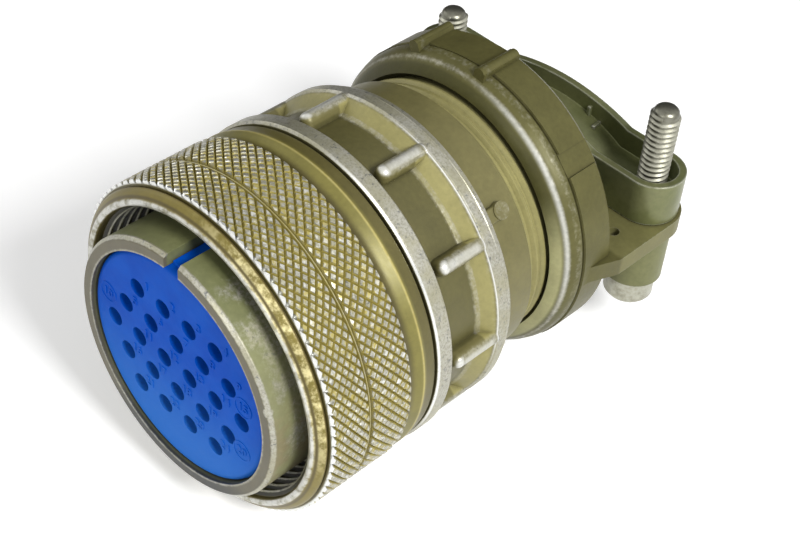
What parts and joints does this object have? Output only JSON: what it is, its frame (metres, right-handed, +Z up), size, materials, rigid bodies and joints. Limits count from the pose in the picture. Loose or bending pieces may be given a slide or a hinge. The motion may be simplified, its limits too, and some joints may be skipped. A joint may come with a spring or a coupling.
{
  "type": "circular plug connector",
  "caption": "Circular multi-contact plug with a knurled coupling nut, a ribbed end bell and a two-screw saddle clamp for the cable.",
  "frame": {"origin": "centre of the bounding box, at the height of the surface that the connector lies on", "axes": "Y along the connector's axis with the mating face towards -Y, Z up along the clamp screws, X to the right seen from the mating face"},
  "size_m": [0.0454, 0.069, 0.0439],
  "materials": {
    "shell_olive": "olive plating, worn to bare metal on the front edge",
    "nut_olive": "olive plating, worn bright on the knurl",
    "bell_olive": "olive plating, its rings worn to bare metal",
    "clamp_olive": "olive plating, worn on the lip",
    "saddle_olive": "olive plating",
    "blue_insert": "satin",
    "dark_insert": "matt",
    "contact_gold": "plated",
    "spring_steel": "bare",
    "screw_steel": "dull bare steel",
    "gasket_rubber": "matt"
  },
  "bodies": {
    "shell": {"plug_shell": "shell_olive", "front_insert": "blue_insert", "rear_insert": "dark_insert", "insert_snap_ring": "spring_steel", "end_bell": "bell_olive", "bell_gasket": "gasket_rubber", "clamp_body": "clamp_olive", "contact_01": "contact_gold", "contact_02": "contact_gold", "contact_03": "contact_gold", "contact_04": "contact_gold", "contact_05": "contact_gold", "contact_06": "contact_gold", "contact_07": "contact_gold", "contact_08": "contact_gold", "contact_09": "contact_gold", "contact_10": "contact_gold", "contact_11": "contact_gold", "contact_12": "contact_gold", "contact_13": "contact_gold", "contact_14": "contact_gold", "contact_15": "contact_gold", "contact_16": "contact_gold", "contact_17": "contact_gold", "contact_18": "contact_gold", "contact_19": "contact_gold", "contact_20": "contact_gold", "contact_21": "contact_gold", "contact_22": "contact_gold", "contact_23": "contact_gold", "contact_24": "contact_gold"},
    "nut": {"coupling_nut": "nut_olive"},
    "saddle": {"saddle": "saddle_olive"},
    "screw_right": {"screw_right": "screw_steel"},
    "screw_left": {"screw_left": "screw_steel"}
  },
  "joints": [
    {"name": "coupling_turn", "type": "hinge", "parent": "shell", "child": "nut", "pos_m": [0, -0.0225, 0.0218], "axis": [0, 1, 0], "continuous": true},
    {"name": "saddle_lift", "type": "slide", "parent": "shell", "child": "saddle", "axis": [0, 0, 1], "range_m": [0, 0.005]},
    {"name": "screw_right_turn", "type": "hinge", "parent": "shell", "child": "screw_right", "pos_m": [0.018, 0.0298, 0.0218], "axis": [0, 0, -1], "range_deg": [0, 2300]},
    {"name": "screw_left_turn", "type": "hinge", "parent": "shell", "child": "screw_left", "pos_m": [-0.018, 0.0298, 0.0218], "axis": [0, 0, -1], "range_deg": [0, 2300]}
  ],
  "couplings": [
    {"joint": "screw_right_turn", "follows": "saddle_lift", "rad_per_m": 7915.8},
    {"joint": "screw_left_turn", "follows": "saddle_lift", "rad_per_m": 7915.8}
  ]
}
